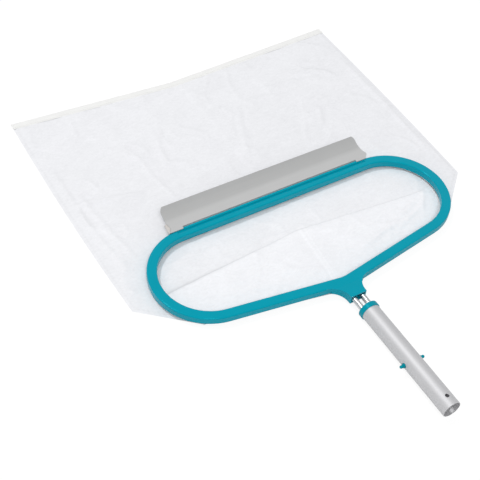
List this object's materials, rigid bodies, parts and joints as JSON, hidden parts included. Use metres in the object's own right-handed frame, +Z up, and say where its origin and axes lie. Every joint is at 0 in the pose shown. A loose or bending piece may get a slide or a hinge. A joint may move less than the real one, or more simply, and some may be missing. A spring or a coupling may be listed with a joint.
{
  "type": "leaf skimmer net",
  "caption": "Deep-bag pool leaf net: a plastic-covered rim with a scoop blade, a fine net bag, and a short tube handle with sprung side buttons for a pole.",
  "frame": {"origin": "centre of the handle tube's open end, on the tube's axis", "axes": "+Y along the handle towards the net, +X to the right as seen from the handle, +Z up, square to the rim's plane; -Y is the way a pole leaves the socket"},
  "size_m": [0.6461, 0.831, 0.0433],
  "materials": {
    "rim_plastic": "semi-gloss",
    "rod_metal": "polished",
    "tube_metal": "satin anodised",
    "net_cloth": "fine white mesh",
    "band_cloth": "woven tape",
    "tape_cloth": "cream woven tape",
    "blade_plastic": "satin",
    "clip_plastic": "satin",
    "fastener_steel": "bright",
    "spring_steel": "satin",
    "button_plastic": "semi-gloss"
  },
  "bodies": {
    "frame": {"rim_cover": "rim_plastic", "rim_base_strip": "rim_plastic", "yoke_base": "rim_plastic", "yoke_screws": "fastener_steel", "hoop_rod": "rod_metal", "mouth_band": "band_cloth", "net_bag": "net_cloth", "bag_end_tape": "tape_cloth", "scoop_blade": "blade_plastic", "left_blade_clip": "clip_plastic", "right_blade_clip": "clip_plastic", "collar_plug": "rim_plastic", "rod_pins": "fastener_steel", "plug_rivet": "fastener_steel", "handle_tube": "tube_metal", "v_clip_bow": "spring_steel"},
    "left_leg": {"left_clip_leg": "spring_steel", "left_button": "button_plastic"},
    "right_leg": {"right_clip_leg": "spring_steel", "right_button": "button_plastic"}
  },
  "joints": [
    {"name": "left_button_press", "type": "hinge", "parent": "frame", "child": "left_leg", "pos_m": [-0.01, 0.14, 0], "axis": [0, 0, 1], "range_deg": [0, 9], "stiffness_Nm_per_rad": 0.5},
    {"name": "right_button_press", "type": "hinge", "parent": "frame", "child": "right_leg", "pos_m": [0.01, 0.14, 0], "axis": [0, 0, -1], "range_deg": [0, 9], "stiffness_Nm_per_rad": 0.5}
  ]
}
